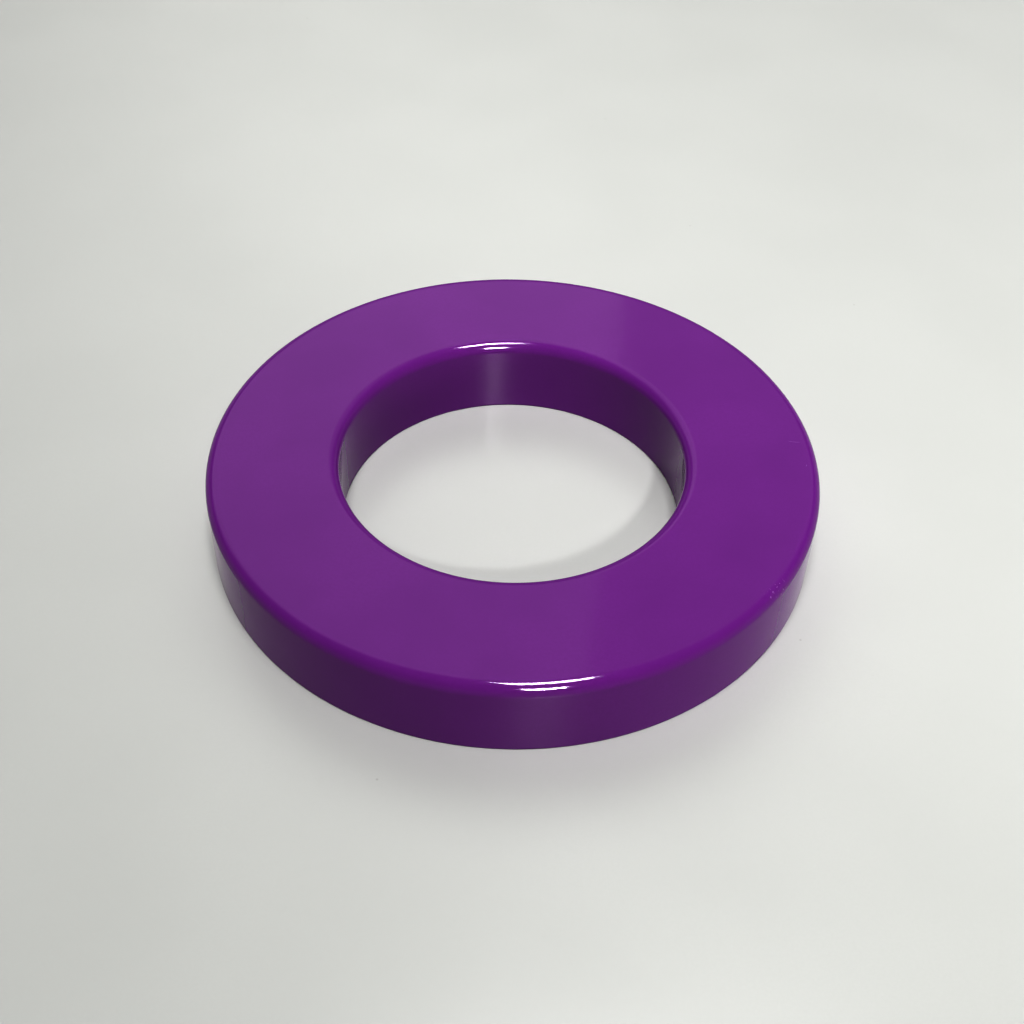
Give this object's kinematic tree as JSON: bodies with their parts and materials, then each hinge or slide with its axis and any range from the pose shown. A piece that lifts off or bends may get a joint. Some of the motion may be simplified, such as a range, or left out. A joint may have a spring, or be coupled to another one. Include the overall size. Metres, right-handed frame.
{
  "type": "juggling ring",
  "caption": "Deep round juggling ring with a flat top, rounded top edges and a round hand hole: a hollow gloss shell closed underneath by a flat annular plate.",
  "frame": {"origin": "centre of the ring at the level of the lower rims that it stands on", "axes": "+Z along the ring's axis, from the closing plate towards the rounded top face; +X and +Y are any two radial directions"},
  "size_m": [0.18, 0.18, 0.0245],
  "materials": {
    "shell_plastic": "polished purple moulding",
    "plate_plastic": "purple moulding, satin underneath"
  },
  "bodies": {
    "root": {"top_shell": "shell_plastic", "base_plate": "plate_plastic"}
  },
  "joints": []
}
